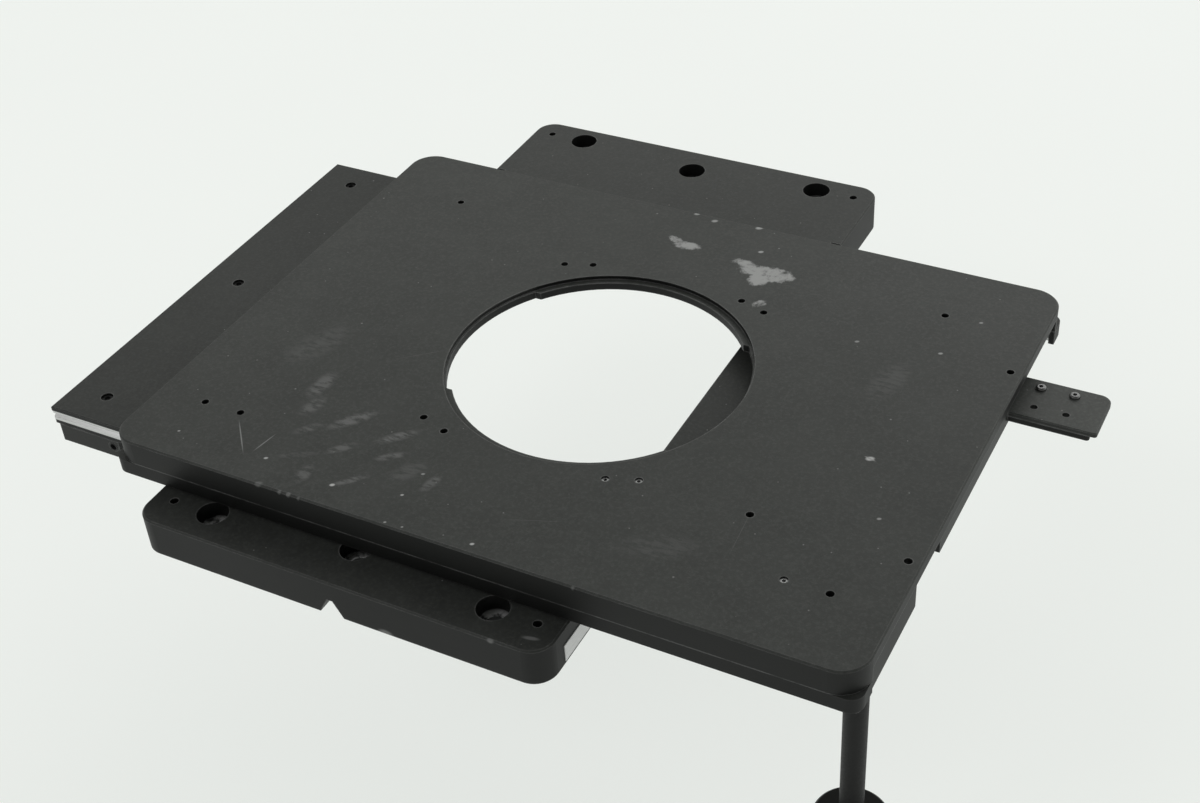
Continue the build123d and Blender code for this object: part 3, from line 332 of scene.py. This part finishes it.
def turned_metal(name, level, metallic, warmth, rough):
    """Small machined part: fine turning marks, a patchy darker film and lighter edges."""
    s = Shader(name)
    marks = s.noise(1400.0, detail=3.0)
    film = s.span(s.noise(300.0, detail=4.0), 0.45, 0.75)
    colour = s.mix(s.span(marks, 0.3, 0.7), grey(level * 0.8, warmth), grey(level * 1.15, warmth))
    colour = s.mix(s.math("MULTIPLY", film, 0.5), colour, grey(level * 0.5, warmth))
    bright = s.math("MULTIPLY", s.edges(0.25 * MM), 0.5)
    colour = s.mix(bright, colour, grey(min(1.0, level * 2.2), warmth))
    roughness = s.span(marks, 0.3, 0.7, rough - 0.06, rough + 0.08)
    return s.surface(colour, roughness, metallic, s.bump(marks, 0.12, 0.00004), Specular_IOR_Level=0.2)


def bronze(name, red, green, blue):
    """Machined copper alloy with a dull film."""
    s = Shader(name)
    marks = s.noise(1200.0, detail=4.0)
    film = s.span(s.noise(180.0, detail=4.0), 0.4, 0.7)
    colour = s.mix(s.span(marks, 0.3, 0.7), (red * 0.8, green * 0.8, blue * 0.8, 1), (red, green, blue, 1))
    colour = s.mix(s.math("MULTIPLY", film, 0.45), colour, (red * 0.45, green * 0.38, blue * 0.35, 1))
    roughness = s.span(marks, 0.3, 0.7, 0.28, 0.44)
    return s.surface(colour, roughness, 1.0, s.bump(marks, 0.10, 0.00004))


def rubber(name):
    s = Shader(name)
    grain = s.noise(1800.0, detail=3.0)
    bloom = s.span(s.noise(90.0, detail=5.0), 0.45, 0.75)
    colour = s.mix(s.math("MULTIPLY", bloom, 0.5), grey(0.013), grey(0.032))
    roughness = s.span(grain, 0.3, 0.7, 0.62, 0.80)
    return s.surface(colour, roughness, normal=s.bump(grain, 0.3, 0.0001))


def moulded_plastic(name):
    """Black knob plastic: fine spark-eroded grain, polished by fingers on its ribs, with a painted sheen on
    them.
    """
    s = Shader(name)
    grain = s.noise(2200.0, detail=2.0)
    edge_wear_and_highlight = s.edges(0.5 * MM)
    colour = s.mix(s.span(s.noise(60.0, detail=4.0), 0.4, 0.7), grey(0.007), grey(0.012))
    # Painted sheen: lighter grey on the rib edges; the lower roughness there is the finger polish.
    colour = s.mix(s.math("MULTIPLY", edge_wear_and_highlight, 0.5), colour, grey(0.045))
    roughness = s.math("SUBTRACT", s.span(grain, 0.3, 0.7, 0.44, 0.60), s.math("MULTIPLY", edge_wear_and_highlight, 0.15))
    return s.surface(colour, roughness, normal=s.bump(grain, 0.25, 0.0001), Specular_IOR_Level=0.25)


def label_metal(name):
    s = Shader(name)
    lines = s.noise(1.0, detail=4.0, vector=s.stretched((400, 30, 2500)))
    colour = s.mix(s.span(lines, 0.3, 0.7), grey(0.62), grey(0.74))
    return s.surface(colour, s.span(lines, 0.3, 0.7, 0.35, 0.5), 0.25, s.bump(lines, 0.1, 0.00004))


SLOT_MATERIALS = {
    "black_anodised": anodised("black_anodised"),
    "black_steel": turned_metal("black_steel", 0.006, 0.0, 0.0, 0.50),
    "ground_steel": ground_steel("ground_steel"),
    "bright_screws": turned_metal("bright_screws", 0.36, 1.0, 0.0, 0.34),
    "black_screws": turned_metal("black_screws", 0.016, 0.4, 0.0, 0.42),
    "bronze": bronze("bronze", 0.55, 0.36, 0.17),
    "gear_brass": bronze("gear_brass", 0.72, 0.55, 0.28),
    "black_rubber": rubber("black_rubber"),
    "black_plastic": moulded_plastic("black_plastic"),
    "plate_label": label_metal("plate_label"),
}
NODE_MATERIALS = {
    "top_plate": anodised("top_anodised", top_marks, 0.0225),
    # The base's lower black level paints part of the shade that the stage above casts on it.
    "base_plate": anodised("base_anodised", base_marks, 0.0185),
    "left_cover": anodised("cover_anodised", None, 0.0155),
    "left_beam": anodised("beam_anodised", None, 0.026, 0.6),
    "side_bracket": anodised("bracket_anodised", None, 0.033, 0.6),
    # The front edge bar's lower black level paints the shade and dark reflection it sits in below the top
    # plate's front face, over the base.
    "edge_bar_front": anodised("bar_anodised", None, 0.014, 0.25, 0.15),
    "side_bracket_screws": turned_metal("bracket_screws", 0.16, 0.9, 0.0, 0.34),
}


def dress():
    """Gives every CAD node the material of its slot."""
    slots = {part["node"]: part["material_slot"] for part in frame["record"]["subparts"]}
    for name, node in NODES.items():
        material = NODE_MATERIALS.get(name, SLOT_MATERIALS[slots[name]])
        node.data.materials.clear()
        node.data.materials.append(material)


# ------------------------------------------------------------------ studio

CAMERA_PLACE = Vector((280.65, -448.35, 394.8)) * MM
CAMERA_LOOK = Vector((-0.39470, 0.68113, -0.61666))
CAMERA_UP = Vector((-0.24489, 0.56889, 0.78511))
LENS = 52.62
FLOOR_HALF = 6.0
FLOOR_GAP = 0.2 * MM
SKY_FRONT = 0.40
SKY_BACK = 1.35
SKY_CEILING = 0.3


def camera():
    data = bpy.data.cameras.new("camera")
    data.lens = LENS
    data.sensor_width = 36.0
    data.clip_start = 0.01
    right = CAMERA_LOOK.cross(CAMERA_UP).normalized()
    up = right.cross(CAMERA_LOOK).normalized()
    turn = Matrix((right, up, -CAMERA_LOOK.normalized())).transposed()
    body = bpy.data.objects.new("camera", data)
    body.matrix_world = Matrix.Translation(CAMERA_PLACE) @ turn.to_4x4()
    bpy.context.scene.collection.objects.link(body)
    bpy.context.scene.camera = body


def floor():
    """Pale seamless floor under the lowest point."""
    z = CAD_LOW.z - FLOOR_GAP
    h = FLOOR_HALF
    mesh = bpy.data.meshes.new("floor")
    mesh.from_pydata([(-h, -h, z), (h, -h, z), (h, h, z), (-h, h, z)], [], [(0, 1, 2, 3)])
    plane = bpy.data.objects.new("floor", mesh)
    bpy.context.scene.collection.objects.link(plane)
    s = Shader("floor_paper")
    tone = s.mix(s.noise(3.0), grey(0.36), grey(0.39))
    mesh.materials.append(s.surface(tone, 0.9, Emission_Color=(0.96, 1.0, 0.96, 1), Emission_Strength=0.62))


def soft_light(name, place, target, size, power):
    data = bpy.data.lights.new(name, "AREA")
    data.shape = "RECTANGLE"
    data.size, data.size_y = size
    data.energy = power
    lamp = bpy.data.objects.new(name, data)
    lamp.location = place
    lamp.rotation_mode = "QUATERNION"
    lamp.rotation_quaternion = (Vector(target) - Vector(place)).to_track_quat("-Z", "Y")
    bpy.context.scene.collection.objects.link(lamp)


def ramp(tree, value, low, high, out_low, out_high):
    node = tree.nodes.new("ShaderNodeMapRange")
    node.interpolation_type = "SMOOTHSTEP"
    for name, number in (("From Min", low), ("From Max", high), ("To Min", out_low), ("To Max", out_high)):
        node.inputs[name].default_value = number
    tree.links.new(value, node.inputs["Value"])
    return node.outputs[0]


def sky(world):
    """Room light by direction: bright walls behind, dim ones in front, a dimmer ceiling."""
    tree = world.node_tree
    back = tree.nodes["Background"]
    place = tree.nodes.new("ShaderNodeTexCoord")
    split = tree.nodes.new("ShaderNodeSeparateXYZ")
    tree.links.new(place.outputs["Generated"], split.inputs[0])
    walls = ramp(tree, split.outputs[1], -0.8, 0.9, SKY_FRONT, SKY_BACK)
    ceiling = ramp(tree, split.outputs[2], 0.35, 0.9, 1.0, SKY_CEILING)
    both = tree.nodes.new("ShaderNodeMath")
    both.operation = "MULTIPLY"
    tree.links.new(walls, both.inputs[0])
    tree.links.new(ceiling, both.inputs[1])
    tree.links.new(both.outputs[0], back.inputs[1])
    back.inputs[0].default_value = (0.98, 1.0, 0.96, 1)


def studio():
    world = bpy.data.worlds.new("studio")
    world.use_nodes = True
    sky(world)
    bpy.context.scene.world = world
    bpy.context.scene.view_settings.view_transform = "Standard"
    soft_light("key", (-1.0, -1.6, 1.8), (0, 0, 0), (0.9, 0.9), 9)
    soft_light("back_fill", (0.4, 2.2, 1.5), (0, 0, 0), (2.0, 1.2), 12)


dress()
camera()
floor()
studio()
